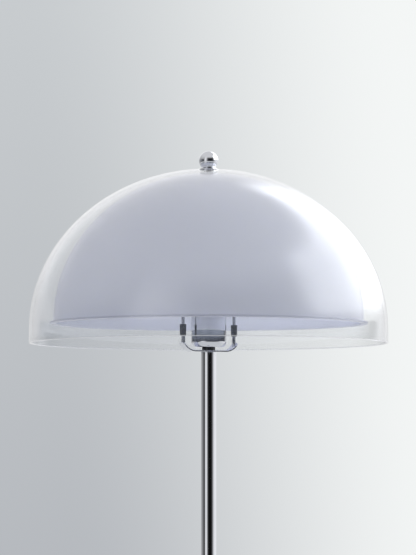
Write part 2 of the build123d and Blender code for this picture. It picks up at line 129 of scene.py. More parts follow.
BUSHING_BORE, BUSHING_RADIUS = 2.05 * MM, 4.0 * MM
BUSHING_PITCH = 0.75 * MM
KNOB_RADIUS = 5.0 * MM
KNOB_DISH = 0.5 * MM
KNOB_FLUTES, FLUTE_DEPTH = 12.0, 0.8 * MM
RING_FOOT, RING_HEAD = 5.5 * MM, 12.1 * MM
HUB_HEIGHT = 3.0 * MM
HUB_FLATS = 9.5 * MM
PIVOT_RADIUS = 2.4 * MM
STUD_PITCH = 0.94 * MM
BULB_NECK = 12.5 * MM
BULB_GLOBE = 24.5 * MM
BULB_SHOULDER = 25.0 * MM
GLASS_WALL = 0.9 * MM
DOME_WALL = 3.0 * MM
DOME_FLAT = 12.0 * MM
WHITE_RADIUS = 160.0 * MM
LIP_THICKNESS = 2.2 * MM
LIP_FILLET = 0.5 * MM
OUTER_SKIRT = 14.0 * MM
INNER_SKIRT = 4.0 * MM
RIM_ROUNDING = 0.9 * MM
BALL_EASING = 1.5          # degrees of the ball that its softened foot takes
BALL_BORE_SPARE = 2.0 * MM
LIP_FACE = 162.5 * MM      # beyond this radius the white dome's lip face gets a painted shade band
EDGE = 0.4 * MM
HOLD = 0.15 * MM           # how close to a rounding a long run's shading is held flat
SEAM = 2e-6                # points closer than this are one point where a turned piece closes
SAME_POINT = 1e-7          # and in an upright bar
SHARP_EDGE = radians(32)   # faces that meet at more than this keep a sharp edge
SHARP_JOINT = radians(20)  # and so do faces of pieces that are joined
FILM = 0.0387              # share of light that an acrylic face sends straight back

# ---------------- node trees written as expressions


class Wire:
    """An output socket. Python's arithmetic on it adds Math nodes."""

    def __init__(self, board, socket):
        self.board = board
        self.socket = socket

    def maths(self, operation, *values):
        return self.board.add("ShaderNodeMath", {"operation": operation}, dict(enumerate(values)))

    def __add__(self, other):
        return self.maths("ADD", self, other)

    def __radd__(self, other):
        return self.maths("ADD", other, self)

    def __sub__(self, other):
        return self.maths("SUBTRACT", self, other)

    def __rsub__(self, other):
        return self.maths("SUBTRACT", other, self)

    def __mul__(self, other):
        return self.maths("MULTIPLY", self, other)

    def __rmul__(self, other):
        return self.maths("MULTIPLY", other, self)

    def __truediv__(self, other):
        return self.maths("DIVIDE", self, other)

    def __mod__(self, other):
        return self.maths("MODULO", self, other)

    def __pow__(self, other):
        return self.maths("POWER", self, other)

    def floor(self):
        return self.maths("FLOOR", self)

    def cosine(self):
        return self.maths("COSINE", self)

    def sine(self):
        return self.maths("SINE", self)

    def at_least(self, other):
        return self.maths("MAXIMUM", self, other)

    def at_most(self, other):
        return self.maths("MINIMUM", self, other)

    def above(self, other):
        return self.maths("GREATER_THAN", self, other)

    def eased(self, low, high):
        """0 below low, 1 above high and smooth between."""
        return self.board.add("ShaderNodeMapRange", {"interpolation_type": "SMOOTHSTEP"},
                              {"Value": self, "From Min": low, "From Max": high})


class Board:
    """A node tree that is being wired."""

    def __init__(self, tree):
        self.tree = tree

    def add(self, kind, settings=None, sockets=None, output=0):
        """Makes a node: its settings come first, then the values or links of its sockets."""
        node = self.tree.nodes.new(kind)
        for name, value in (settings or {}).items():
            if name == "stops":
                self.set_stops(node.color_ramp, value)
            else:
                setattr(node, name, value)
        for name, value in (sockets or {}).items():
            if isinstance(value, Wire):
                self.tree.links.new(value.socket, node.inputs[name])
            else:
                node.inputs[name].default_value = value
        return Wire(self, node.outputs[output]) if len(node.outputs) else None

    @staticmethod
    def set_stops(ramp, stops):
        """Replaces a ramp's stops with (position, colour) pairs."""
        while len(ramp.elements) > 1:
            ramp.elements.remove(ramp.elements[-1])
        ramp.elements[0].position, ramp.elements[0].color = stops[0]
        for position, colour in stops[1:]:
            ramp.elements.new(position).color = colour

    def split(self, vector):
        """The three numbers of a vector."""
        x = self.add("ShaderNodeSeparateXYZ", None, {0: vector})
        node = x.socket.node
        return x, Wire(self, node.outputs[1]), Wire(self, node.outputs[2])

    def blend(self, factor, first, second):
        """Colour between two colours."""
        return self.add("ShaderNodeMix", {"data_type": "RGBA"}, {0: factor, 6: first, 7: second}, output=2)


# ---------------- geometry trees


def geometry_tree(name, inputs):
    """A modifier's node tree with the given named inputs, and the wires that come from them."""
    tree = bpy.data.node_groups.new(name, "GeometryNodeTree")
    tree.is_modifier = True
    tree.interface.new_socket("Piece", in_out="OUTPUT", socket_type="NodeSocketGeometry")
    for label, kind in inputs:
        tree.interface.new_socket(label, in_out="INPUT", socket_type="NodeSocket" + kind)
    board = Board(tree)
    source = tree.nodes.new("NodeGroupInput")
    return board, {label: Wire(board, source.outputs[label]) for label, _ in inputs}


def finish_tree(board, piece, material):
    """Ends a tree: smooth faces, its instances made real, its material set."""
    smooth = board.add("GeometryNodeSetShadeSmooth", None, {"Geometry": piece})
    real = board.add("GeometryNodeRealizeInstances", None, {"Geometry": smooth})
    painted = board.add("GeometryNodeSetMaterial", None, {"Geometry": real, "Material": material})
    board.add("NodeGroupOutput", None, {0: painted})
    return board.tree


def turning_tree():
    """Turns a section about the Z axis, with a rolled thread or flutes cut into its outside."""
    board, given = geometry_tree("turned piece", [
        ("Section", "Geometry"), ("Steps", "Int"), ("Material", "Material"),
        ("Work Foot", "Float"), ("Work Head", "Float"), ("Work Radius", "Float"),
        ("Thread Pitch", "Float"), ("Thread Depth", "Float"), ("Flutes", "Float"), ("Flute Depth", "Float")])
    count = board.add("GeometryNodeAttributeDomainSize", {"component": "CURVE"}, {0: given["Section"]})
    sheet = board.add("GeometryNodeMeshGrid", None, {
        "Size X": 1.0, "Size Y": 1.0, "Vertices X": given["Steps"] + 1, "Vertices Y": count})
    index = board.add("GeometryNodeInputIndex")
    place = board.add("GeometryNodeInputPosition")
    spot = board.add("GeometryNodeSampleIndex", {"data_type": "FLOAT_VECTOR", "domain": "POINT"}, {
        "Geometry": given["Section"], "Value": place, "Index": index % count})
    out, _, up = board.split(spot)
    angle = (index / count).floor() / given["Steps"] * (2 * pi)

    worked = up.eased(given["Work Foot"], given["Work Foot"] + given["Thread Pitch"] / 2)
    worked *= 1 - up.eased(given["Work Head"] - given["Thread Pitch"] / 2, given["Work Head"])
    worked *= out.above(given["Work Radius"])
    groove = 0.5 - 0.5 * ((up / given["Thread Pitch"]) * (2 * pi) - angle).cosine()
    flute = (angle * given["Flutes"]).cosine().at_least(0) ** 2
    out = out - worked * (groove * given["Thread Depth"] + flute * given["Flute Depth"])

    spun = board.add("ShaderNodeCombineXYZ", None, {0: out * angle.cosine(), 1: out * angle.sine(), 2: up})
    moved = board.add("GeometryNodeSetPosition", None, {"Geometry": sheet, "Position": spun})
    closed = board.add("GeometryNodeMergeByDistance", None, {"Geometry": moved, "Distance": SEAM})
    return finish_tree(board, closed, given["Material"])


def wire_tree():
    """Draws a round wire along a path, thinned by the path's own radii."""
    board, given = geometry_tree("drawn wire", [
        ("Path", "Geometry"), ("Radius", "Float"), ("Sides", "Int"), ("Material", "Material")])
    round_bar = board.add("GeometryNodeCurvePrimitiveCircle", None, {
        "Resolution": given["Sides"], "Radius": given["Radius"]})
    thinning = board.add("GeometryNodeInputRadius")
    bar = board.add("GeometryNodeCurveToMesh", None, {
        "Curve": given["Path"], "Profile Curve": round_bar, "Scale": thinning, "Fill Caps": True})
    return finish_tree(board, bar, given["Material"])


def plain_mesh(name, source, tree, inputs):
    """Runs a tree on a source object and keeps the result as a plain mesh piece."""
    modifier = source.modifiers.new("shape", "NODES")
    modifier.node_group = tree
    for item in tree.interface.items_tree:
        if item.in_out == "INPUT" and item.name in inputs:
            modifier[item.identifier] = inputs[item.name]
    result = source.evaluated_get(bpy.context.evaluated_depsgraph_get())
    mesh = bpy.data.meshes.new_from_object(result)
    source.modifiers.remove(modifier)
    bpy.data.objects.remove(source)
    mesh.name = name
    return new_piece(name, mesh)


def new_piece(name, mesh):
    """Object for a finished mesh, with its faces turned outwards and its sharp edges kept sharp."""
    shell = bmesh.new()
    shell.from_mesh(mesh)
    bmesh.ops.recalc_face_normals(shell, faces=shell.faces)
    shell.to_mesh(mesh)
    shell.free()
    mesh.set_sharp_from_angle(angle=SHARP_EDGE)
    piece = bpy.data.objects.new(name, mesh)
    bpy.context.scene.collection.objects.link(piece)
    return piece


def drawn_curve(points, radii=None):
    """Poly curve object through points, as the source of a tree."""
    curve = bpy.data.curves.new("path", "CURVE")
    curve.dimensions = "3D"
    spline = curve.splines.new("POLY")
    spline.points.add(len(points) - 1)
    for i, (point, place) in enumerate(zip(spline.points, points)):
        point.co = (*place, 1)
        point.radius = radii[i] if radii else 1.0
    source = bpy.data.objects.new("path", curve)
    bpy.context.scene.collection.objects.link(source)
    return source


def put(piece, body, node):
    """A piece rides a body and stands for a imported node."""
    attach(piece, body)
    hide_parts(node)


def joined(name, pieces):
    """Several pieces of one body as one piece."""
    whole = bmesh.new()
    materials = []
    for piece in pieces:
        materials += [m for m in piece.data.materials if m not in materials]
        whole.from_mesh(piece.data)
    mesh = bpy.data.meshes.new(name)
    whole.to_mesh(mesh)
    whole.free()
    for material in materials:
        mesh.materials.append(material)
    for piece in pieces:
        bpy.data.objects.remove(piece)
    mesh.set_sharp_from_angle(angle=SHARP_JOINT)
    result = bpy.data.objects.new(name, mesh)
    bpy.context.scene.collection.objects.link(result)
    return result


# ---------------- outlines


def arc(centre, size, start, end, steps=12):
    """Points on an arc between two angles in degrees, as (radius, height)."""
    turns = [radians(start + (end - start) * i / steps) for i in range(steps + 1)]
    return [(centre[0] + size * cos(turn), centre[1] + size * sin(turn)) for turn in turns]


def soften(corners, steps=5):
    """Closed outline through corners, each given as (radius, height, rounding)."""
    outline = []
    for i, (x, z, rounding) in enumerate(corners):
        here = Vector((x, z))
        before = (Vector(corners[i - 1][:2]) - here).normalized()
        after = (Vector(corners[(i + 1) % len(corners)][:2]) - here).normalized()
        half = acos(max(-1, min(1, before.dot(after)))) / 2
        if rounding == 0 or half > radians(89):
            outline.append((x, z))
            continue
        centre = here + (before + after).normalized() * (rounding / sin(half))
        first = here + before * (rounding * cos(half) / sin(half)) - centre
        last = here + after * (rounding * cos(half) / sin(half)) - centre
        sweep = pi - 2 * half
        for k in range(steps + 1):
            share = k / steps
            arm = (first * sin((1 - share) * sweep) + last * sin(share * sweep)) / sin(sweep)
            outline.append(tuple(centre + arm))
    return outline


def box_section(bore, outer, bottom, top, rounding):
    """Ring of rectangular section with softened edges."""
    return soften([(bore, bottom, rounding), (outer, bottom, rounding),
                   (outer, top, rounding), (bore, top, rounding)])


def rod_section(outer, bottom, top, rounding):
    """Solid round bar with softened rims."""
    return soften([(0, bottom, 0), (outer, bottom, rounding), (outer, top, rounding), (0, top, 0)])


def split_runs(outline, longest):
    """Adds points on a closed outline's long upright runs, for a thread to be cut into."""
    finer = []
    for i, here in enumerate(outline):
        following = outline[(i + 1) % len(outline)]
        pieces = max(1, int(abs(following[1] - here[1]) / longest))
        finer += [(here[0] + (following[0] - here[0]) * k / pieces,
                   here[1] + (following[1] - here[1]) * k / pieces) for k in range(pieces)]
    return finer


def held(outline):
    """Adds a point close to each end of a long run, so that its shading stays flat up to the rounding."""
    firm = []
    count = len(outline)
    for i, spot in enumerate(outline):
        here, after = Vector(spot), Vector(outline[(i + 1) % count])
        run = (after - here).length
        firm.append(spot)
        if run > 4 * (here - Vector(outline[i - 1])).length and run > 8 * HOLD:
            firm.append(tuple(here.lerp(after, HOLD / run)))
        if run > 4 * (Vector(outline[(i + 2) % count]) - after).length and run > 8 * HOLD:
            firm.append(tuple(after.lerp(here, HOLD / run)))
    return firm


def turned(name, outline, material, steps=96, rearward_at=None, place=(0, 0, 0), **work):
    """Piece turned from a closed outline, laid along +Y when a height for that is given."""
    outline = held(outline)
    points = [(r, 0, z) for r, z in outline + outline[:1]]
    inputs = {"Steps": steps, "Material": material, "Thread Pitch": 1.0, **work}
    piece = plain_mesh(name, drawn_curve(points), TURNING, inputs)
    if rearward_at is not None:
        piece.data.transform(Matrix.Translation((0, 0, rearward_at)) @ Matrix.Rotation(-pi / 2, 4, "X"))
    piece.data.transform(Matrix.Translation(place))
    return piece


def bored(piece, drill):
    """A piece with a drill's form cut out of it."""
    name = piece.name
    cut = piece.modifiers.new("bore", "BOOLEAN")
    cut.operation = "DIFFERENCE"
    cut.solver = "EXACT"
    cut.object = drill
    whole = piece.evaluated_get(bpy.context.evaluated_depsgraph_get())
    mesh = bpy.data.meshes.new_from_object(whole)
    bpy.data.objects.remove(drill)
    bpy.data.objects.remove(piece)
    return new_piece(name, mesh)


def prism(name, outline, feet, top, material, bevel=0.0):
    """Upright bar with the given outline in plan, the height of each corner's foot, and bevelled edges."""
    form = bmesh.new()
    lower = [form.verts.new((x, y, z)) for (x, y), z in zip(outline, feet)]
    upper = [form.verts.new((x, y, top)) for x, y in outline]
    form.faces.new(lower[::-1])
    form.faces.new(upper)
    for i in range(len(outline)):
        k = (i + 1) % len(outline)
        form.faces.new((lower[i], lower[k], upper[k], upper[i]))
    bmesh.ops.remove_doubles(form, verts=form.verts, dist=SAME_POINT)
    bmesh.ops.recalc_face_normals(form, faces=form.faces)
    if bevel:
        rims = [edge for edge in form.edges if edge.calc_face_angle(0) > SHARP_EDGE]
        bmesh.ops.bevel(form, geom=rims, offset=bevel, segments=2, affect="EDGES", profile=0.5)
    for face in form.faces:
        face.smooth = True
    mesh = bpy.data.meshes.new(name)
    form.to_mesh(mesh)
    form.free()
    mesh.materials.append(material)
    return new_piece(name, mesh)


# ---------------- finishes


class Finish(Board):
    """A procedural material on object coordinates."""

    def __init__(self, name):
        self.material = bpy.data.materials.new(name)
        self.material.use_nodes = True
        self.material.node_tree.nodes.clear()
        super().__init__(self.material.node_tree)
        self.place = self.add("ShaderNodeTexCoord", output=3)

    def noise(self, scale, detail=3.0, stretch=(1, 1, 1), roughness=0.5):
        """Noise from 0 to 1. scale is in cells a metre."""
        where = self.add("ShaderNodeMapping", None, {"Vector": self.place, "Scale": stretch})
        return self.add("ShaderNodeTexNoise", None, {
            "Vector": where, "Scale": scale, "Detail": detail, "Roughness": roughness})

    def bump(self, height, distance):
        """Normal for a height from 0 to 1 that is distance metres deep."""
        return self.add("ShaderNodeBump", None, {"Height": height, "Distance": distance, "Strength": 1.0})

    def gloss(self, colour, rough, **sockets):
        """The Principled shader."""
        named = {key.replace("_", " "): value for key, value in sockets.items()}
        return self.add("ShaderNodeBsdfPrincipled", None, {"Base Color": colour, "Roughness": rough, **named})

    def mix(self, factor, first, second):
        """Shader between two shaders."""
        return self.add("ShaderNodeMixShader", None, {0: factor, 1: first, 2: second})

    def done(self, shader):
        self.add("ShaderNodeOutputMaterial", None, {"Surface": shader})
        return self.material


def plated(name, colour, rough, streaks=(1, 1, 1), ripple=4e-6):
    """Polished plating: faint smudges, wipe marks and the ripple of the metal under it."""
    finish = Finish(name)
    smudge = finish.noise(26, 5).eased(0.42, 0.78)
    wipe = finish.noise(240, 3, streaks)
    dusty = finish.noise(1400, 1).eased(0.66, 0.78)
    shade = finish.blend(smudge * 0.35 + dusty * 0.3, (*colour, 1), (*[c * 0.88 for c in colour], 1))
    roughness = rough + smudge * 0.02 + wipe * 0.006 + dusty * 0.10
    normal = finish.bump(finish.noise(34, 2, streaks), ripple)
    return finish.done(finish.gloss(shade, roughness, Metallic=1.0, Normal=normal))


def drawn_metal(name, colour, rough, streaks=(9, 9, 1)):
    """Drawn or turned metal, with fine lines along the way it was worked."""
    finish = Finish(name)
    lines = finish.noise(900, 2, streaks)
    tarnish = finish.noise(45, 4).eased(0.45, 0.8)
    shade = finish.blend(tarnish, (*colour, 1), (*[c * 0.62 for c in colour], 1))
    normal = finish.bump(lines, 1.2e-5)
    roughness = rough + lines * 0.12 + tarnish * 0.12
    return finish.done(finish.gloss(shade, roughness, Metallic=1.0, Normal=normal))


def moulded(name, colour, rough, grain=600, depth=1.5e-5):
    """Moulded plastic or enamel with a fine skin and some dust."""
    finish = Finish(name)
    skin = finish.noise(grain, 3)
    dust = finish.noise(1800, 1).eased(0.64, 0.76)
    shade = finish.blend(dust * 0.25, (*colour, 1), (0.45, 0.45, 0.45, 1))
    normal = finish.bump(skin, depth)
    return finish.done(finish.gloss(shade, rough + skin * 0.1 + dust * 0.2, Normal=normal))


def clear_acrylic(name, rim_z, haze):
    """Clear polished sheet: mirror-like film on see-through, a hazy polished rim, dust and hairline wipes."""
    finish = Finish(name)
    _, _, up = finish.split(finish.place)
    turned_away = finish.add("ShaderNodeLayerWeight", None, {"Blend": 0.5}, output=1)
    film = turned_away ** 5 * (1 - FILM) + FILM
    dust = finish.noise(900, 1).eased(0.69, 0.76)
    wipes = finish.noise(700, 2, (1, 1, 0.12)).eased(0.5, 0.85)
    rim = 1 - up.eased(rim_z + 0.6 * MM, rim_z + 1.6 * MM)
    see_through = finish.add("ShaderNodeBsdfTransparent", None, {"Color": (0.994, 0.996, 0.999, 1)})
    shine = finish.gloss((1, 1, 1, 1), 0.015 + wipes * 0.03, Metallic=1.0)
    body = finish.gloss((0.93, 0.94, 0.97, 1), 0.25)
    clouded = (haze + dust * 0.1 + wipes * 0.006 + turned_away ** 6 * 0.16 + rim * 0.28).at_most(0.9)
    sheet = finish.mix(clouded, see_through, body)
    return finish.done(finish.mix(film, sheet, shine))


def opal_acrylic(name, rim_z):
    """White opal sheet with a gloss skin and a painted shade band on its lip's outer face. Light goes into it
    and comes out beside.
    """
    finish = Finish(name)
    x, y, up = finish.split(finish.place)
    cloud = finish.noise(9, 2)
    dust = finish.noise(1200, 1).eased(0.68, 0.78)
    # rim marks the lip's outer face beyond LIP_FACE; the dark blue-grey mixed in there is painted shade for
    # that upright face, which catches little light
    rim = up.eased(rim_z + 0.1 * MM, rim_z + 0.5 * MM) * (1 - up.eased(rim_z + 2.2 * MM, rim_z + 2.9 * MM))
    rim *= (x * x + y * y).above(LIP_FACE**2)
    shade = finish.blend(cloud, (0.82, 0.84, 0.915, 1), (0.85, 0.865, 0.935, 1))
    shade = finish.blend(dust * 0.25, shade, (0.55, 0.55, 0.58, 1))
    shade = finish.blend(rim * 0.75, shade, (0.30, 0.30, 0.37, 1))
    normal = finish.bump(finish.noise(14, 2), 4e-5)
    skin = finish.gloss(shade, 0.06 + dust * 0.25 + cloud * 0.03, Normal=normal, IOR=1.49,
                        Subsurface_Weight=1.0, Subsurface_Scale=0.005, Subsurface_Radius=(1.0, 1.0, 1.1))
    through = finish.add("ShaderNodeBsdfTranslucent", None, {"Color": (0.93, 0.94, 1.0, 1)})
    return finish.done(finish.mix(0.42 + cloud * 0.02, skin, through))


def frosted_glass(name):
    """Bulb glass frosted inside, unlit."""
    finish = Finish(name)
    frost = finish.noise(1600, 3)
    shade = finish.blend(frost, (0.83, 0.84, 0.85, 1), (0.90, 0.90, 0.90, 1))
    return finish.done(finish.gloss(shade, 0.16 + frost * 0.1, Subsurface_Weight=0.5, Subsurface_Scale=0.004,
                                    Normal=finish.bump(frost, 6e-6)))


def soft_washer(name):
    """Clear soft plastic washer."""
    finish = Finish(name)
    cloud = finish.noise(300, 2)
    see_through = finish.add("ShaderNodeBsdfTransparent", None, {"Color": (0.92, 0.94, 0.96, 1)})
    body = finish.gloss((0.80, 0.82, 0.86, 1), 0.22 + cloud * 0.1)
    return finish.done(finish.mix(0.45 + cloud * 0.2, see_through, body))


def pressed_felt(name):
    """Black felt: short fibres that lie every way."""
    finish = Finish(name)
    fibre = finish.noise(2600, 4, (1, 1, 3), 0.7)
    tuft = finish.noise(320, 3)
    shade = finish.blend(fibre * 0.7 + tuft * 0.3, (0.018, 0.018, 0.019, 1), (0.085, 0.083, 0.08, 1))
    normal = finish.bump(fibre * 0.6 + tuft * 0.4, 4e-4)
    return finish.done(finish.gloss(shade, 0.92, Normal=normal, Sheen_Weight=0.3))


def cast_iron(name):
    """Sand-cast iron under thin black paint."""
    finish = Finish(name)
    sand = finish.noise(420, 5, roughness=0.65)
    shade = finish.blend(sand, (0.03, 0.03, 0.032, 1), (0.10, 0.10, 0.105, 1))
    return finish.done(finish.gloss(shade, 0.5 + sand * 0.25, Metallic=0.3, Normal=finish.bump(sand, 4e-4)))


DOME_RIM = foot("outer_dome")
WHITE_RIM = foot("inner_dome")
finishes = {
    "polished_chrome": plated("polished_chrome", (0.80, 0.81, 0.845), 0.012, (1, 1, 0.06)),
    "nickel_wire": drawn_metal("nickel_wire", (0.42, 0.43, 0.47), 0.16, (6, 6, 0.4)),
    # the sleeves are nickel like the wire; their near-black base colour is painted shade, for the dark
    # surroundings they mirror
    "nickel_sleeve": drawn_metal("nickel_sleeve", (0.085, 0.09, 0.105), 0.20, (1, 1, 7)),
    "zinc_steel": drawn_metal("zinc_steel", (0.60, 0.61, 0.63), 0.28, (1, 1, 4)),
    "black_collar": moulded("black_collar", (0.012, 0.012, 0.014), 0.12, 300, 4e-6),
    "clear_dome": clear_acrylic("clear_dome", DOME_RIM, 0.022),
    "opal_white": opal_acrylic("opal_white", WHITE_RIM),
    "clear_washer": soft_washer("clear_washer"),
    "black_phenolic": moulded("black_phenolic", (0.022, 0.021, 0.020), 0.34),
    "black_knob": moulded("black_knob", (0.016, 0.016, 0.017), 0.20),
    "black_nylon": moulded("black_nylon", (0.020, 0.020, 0.021), 0.38),
    "nickel_shell": drawn_metal("nickel_shell", (0.62, 0.60, 0.56), 0.22, (1, 1, 6)),
    "brass": drawn_metal("brass", (0.72, 0.52, 0.24), 0.25, (1, 1, 4)),
    "solder": drawn_metal("solder", (0.46, 0.46, 0.47), 0.38, (1, 1, 1)),
    "frosted_glass": frosted_glass("frosted_glass"),
    "black_glass": moulded("black_glass", (0.010, 0.010, 0.012), 0.06, 200, 2e-6),
    "felt": pressed_felt("felt"),
    "cast_iron": cast_iron("cast_iron"),
}
slot_of = {part["node"]: part["material_slot"] for part in frame["record"]["subparts"]}

TURNING = turning_tree()
WIRE = wire_tree()


def lathe_piece(name, node, outline, body, **settings):
    """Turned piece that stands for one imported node, in that node's slot."""
    slot = slot_of[node]
    put(turned(name, outline, finishes[slot], **settings), body, node)


# ---------------- camera

# The photograph's frame: the lamp's axis stands at AXIS_X pixels, and SIGHT_Z is the height on the
# axis that lies at half the picture's height.
CAMERA_AZIMUTH = radians(-24)
CAMERA_DISTANCE = 3.5
CAMERA_HEIGHT = 1.06
SIGHT_Z = 1.2695
LENS, SENSOR = 220.4, 36.0
AXIS_X = 208.6

camera_data = bpy.data.cameras.new("photo_camera")
camera_data.lens = LENS
camera_data.sensor_width = SENSOR
camera_data.sensor_fit = "AUTO"
camera_data.shift_x = (PHOTO_WIDTH / 2 - AXIS_X) / PHOTO_HEIGHT
camera_data.clip_end = 60
camera = bpy.data.objects.new("photo_camera", camera_data)
bpy.context.scene.collection.objects.link(camera)
camera.location = (CAMERA_DISTANCE * sin(CAMERA_AZIMUTH), -CAMERA_DISTANCE * cos(CAMERA_AZIMUTH),
                   CAMERA_HEIGHT)
sight = Vector((0, 0, SIGHT_Z)) - camera.location
camera.rotation_euler = sight.to_track_quat("-Z", "Y").to_euler()
bpy.context.scene.camera = camera
bpy.context.scene.view_settings.view_transform = "Standard"

# ---------------- base


def base_form(inset, steps=40):
    """Points of the base's outer form, from the rim up to the flat under the collar."""
    rim = radius("base_cover") - inset
    shoulder = BASE_SHOULDER - inset
    crown = (radius("base_cover")**2 + BASE_CROWN_RISE**2) / (2 * BASE_CROWN_RISE)
    crown_z = BASE_SHOULDER_HEIGHT + BASE_CROWN_RISE - crown
    crown -= inset
    flat = radius("foot_collar") + BASE_FLAT_MARGIN
    corner = (rim - shoulder, crown_z + sqrt((crown - shoulder)**2 - (rim - shoulder)**2))
    lean = degrees(atan2(corner[1] - crown_z, corner[0]))
    top = degrees(acos(flat / crown))
    return ([(rim, foot("base_cover"))] + arc(corner, shoulder, 0, lean, 12)
            + arc((0, crown_z), crown, lean, top, steps)[1:])


def make_base():
    """Felt, cover, cord bushing and collar of the base."""
    felt = rod_section(radius("base_felt"), foot("base_felt"), head("base_felt"), 0.3 * MM)
    lathe_piece("felt_pad", "base_felt", felt, "stand", steps=160)
    outside = base_form(0)
    inside = base_form(COVER_WALL)[::-1]
    cover = outside + [(NIPPLE_HOLE, outside[-1][1]), (NIPPLE_HOLE, inside[0][1])] + inside
    seat = radius("base_cover")
    chrome = finishes["polished_chrome"]
    drill = turned("drill", rod_section(INLET_SLEEVE, seat - 6 * MM, seat + 6 * MM, 0), chrome, steps=64,
                   rearward_at=inlet_z)
    shell = bored(turned("base_shell", cover, chrome, steps=256), drill)
    put(shell, "stand", "base_cover")

    collar = foot("foot_collar")
    wide, narrow = radius("foot_collar"), stem_radius + COLLAR_LIP
    top = head("foot_collar")
    floor = foot("stem_lower_tube")
    low, high = Vector((wide, floor)), Vector((narrow, top - COLLAR_RIM))
    chord = high - low
    across = Vector((-chord.y, chord.x)).normalized()
    centre = (low + high) / 2 + across * sqrt(COLLAR_CURVE**2 - chord.length_squared / 4)
    turns = [degrees(atan2(p.y - centre.y, p.x - centre.x)) for p in (low, high)]
    outline = ([(NIPPLE_HOLE, collar), (wide - EDGE, collar), (wide, collar + EDGE)]
               + arc(centre, COLLAR_CURVE, *turns, steps=28)
               + arc((narrow - EDGE, top - EDGE), EDGE, 0, 90, 4)
               + [(stem_radius, top), (stem_radius, floor), (NIPPLE_HOLE, floor)])
    lathe_piece("stem_foot_collar", "foot_collar", outline, "stand", steps=128)

    low_y, high_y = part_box("cord_bushing")[0].y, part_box("cord_bushing")[1].y
    flange = radius("cord_bushing")
    bushing = soften([(INLET_BORE, low_y, 0), (INLET_SLEEVE, low_y, 0.2 * MM), (INLET_SLEEVE, seat, 0),
                      (flange, seat, 0.2 * MM), (flange, high_y, 0.9 * MM), (INLET_BORE, high_y, 0.7 * MM)])
    lathe_piece("cord_grommet", "cord_bushing", bushing, "stand", steps=64, rearward_at=inlet_z)


# ---------------- stem


def make_stem():
    """Two polished tubes, the dark collar and the cup."""
    for name, node in (("stem_lower", "stem_lower_tube"), ("stem_upper", "stem_upper_tube")):
        tube = box_section(stem_radius - STEM_WALL, stem_radius, foot(node), head(node), 0.3 * MM)
        lathe_piece(name, node, tube, "stand", steps=160)
    collar = box_section(NIPPLE_HOLE, radius("neck_collar"), foot("neck_collar"), head("neck_collar"),
                         0.6 * MM)
    lathe_piece("dark_collar", "neck_collar", collar, "stand", steps=128)
    inner = cup_radius - CUP_WALL
    cup = soften([(NIPPLE_HOLE, cup_foot, 0), (cup_radius, cup_foot, CUP_ROUNDING),
                  (cup_radius, cup_top, 0.3 * MM), (inner, cup_top, 0.3 * MM),
                  (inner, cup_foot + CUP_WALL, CUP_ROUNDING - CUP_WALL),
                  (NIPPLE_HOLE, cup_foot + CUP_WALL, 0)], steps=14)
    lathe_piece("cup", "socket_cup", cup, "stand", steps=192)


# ---------------- saddle, harp and sleeves


def strap_level():
    """Height of the strap's middle line on the stem, and how far out its bends start."""
    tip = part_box("harp_saddle")[1].x
    return stem_top + SADDLE_THICKNESS / 2, tip - (SADDLE_BEND + SADDLE_THICKNESS / 2) * sin(SADDLE_TURN)


def strap_point(distance):
    """Place and lean of the strap's middle line at a distance from its middle."""
    level, start = strap_level()
    side = 1 if distance > 0 else -1
    turn = max(0, abs(distance) - start) / SADDLE_BEND
    out = min(abs(distance), start) + SADDLE_BEND * sin(turn)
    return Vector((side * out, level + SADDLE_BEND * (1 - cos(turn)))), side * turn


def make_strap():
    """Strap that rises to two flared tips, with its corners rounded in plan."""
    _, start = strap_level()
    half = start + SADDLE_BEND * SADDLE_TURN
    corner, soft = SADDLE_WIDTH / 4, 0.3 * MM
    rounded = [half - corner * (1 - cos(radians(90) * i / 8)) for i in range(9)]
    bent = [start + (rounded[-1] - start) * (1 - i / 24) for i in range(1, 25)]
    level_run = [start * (1 - i / 8) for i in range(1, 9)]
    right = rounded + bent + level_run
    stations = [-d for d in right] + right[-2::-1]
    wide, thick = SADDLE_WIDTH / 2, SADDLE_THICKNESS / 2
    section = held(soften([(-wide, -thick, soft), (wide, -thick, soft),
                           (wide, thick, soft), (-wide, thick, soft)]))
    form = bmesh.new()
    rings = []
    for station in stations:
        here, lean = strap_point(station)
        up = Vector((-sin(lean), cos(lean)))
        near = min(corner, half - abs(station))
        drawn_in = corner - sqrt(max(0, corner**2 - (corner - near)**2))
        ring = []
        for across, off in section:
            spot = here + up * off
            ring.append(form.verts.new((spot.x, across - (drawn_in if across > 0 else -drawn_in), spot.y)))
        rings.append(ring)
    for low, high in zip(rings, rings[1:]):
        for k in range(len(low)):
            j = (k + 1) % len(low)
            form.faces.new((low[k], low[j], high[j], high[k])).smooth = True
    form.faces.new(rings[0])
    form.faces.new(rings[-1])
    mesh = bpy.data.meshes.new("strap")
    form.to_mesh(mesh)
    form.free()
    mesh.materials.append(finishes["polished_chrome"])
    return new_piece("strap", mesh)


def make_post(side):
    """Half-round post that a harp leg stands in, with its solid root set on the strap's bend."""
    chrome = finishes["polished_chrome"]
    level, start = strap_level()
    inward = 180 if side > 0 else 0
    channel = (arc((0, 0), POST_RADIUS, inward - 90, inward + 90, 20)
               + arc((0, 0), POST_BORE, inward + 90, inward - 90, 16))
    above = level + SADDLE_BEND - leg_foot_z
    reach = start + sqrt(SADDLE_BEND**2 - above**2) - LEG_OFFSET
    cut = degrees(acos(min(1, reach / POST_RADIUS)))
    root = arc((0, 0), POST_RADIUS, inward - 180 + cut, inward + 180 - cut, 28)
    feet = []
    for x, _ in root:
        out = LEG_OFFSET + side * x - start
        feet.append(level + SADDLE_BEND - sqrt(SADDLE_BEND**2 - out**2) - leg_foot_z)
    pieces = [prism("post", channel, [0.0] * len(channel), POST_HEIGHT, chrome, 0.15 * MM),
              prism("post_root", root, feet, 0.0, chrome)]
    for piece in pieces:
        piece.data.transform(Matrix.Translation((side * LEG_OFFSET, 0, leg_foot_z)))
    return pieces


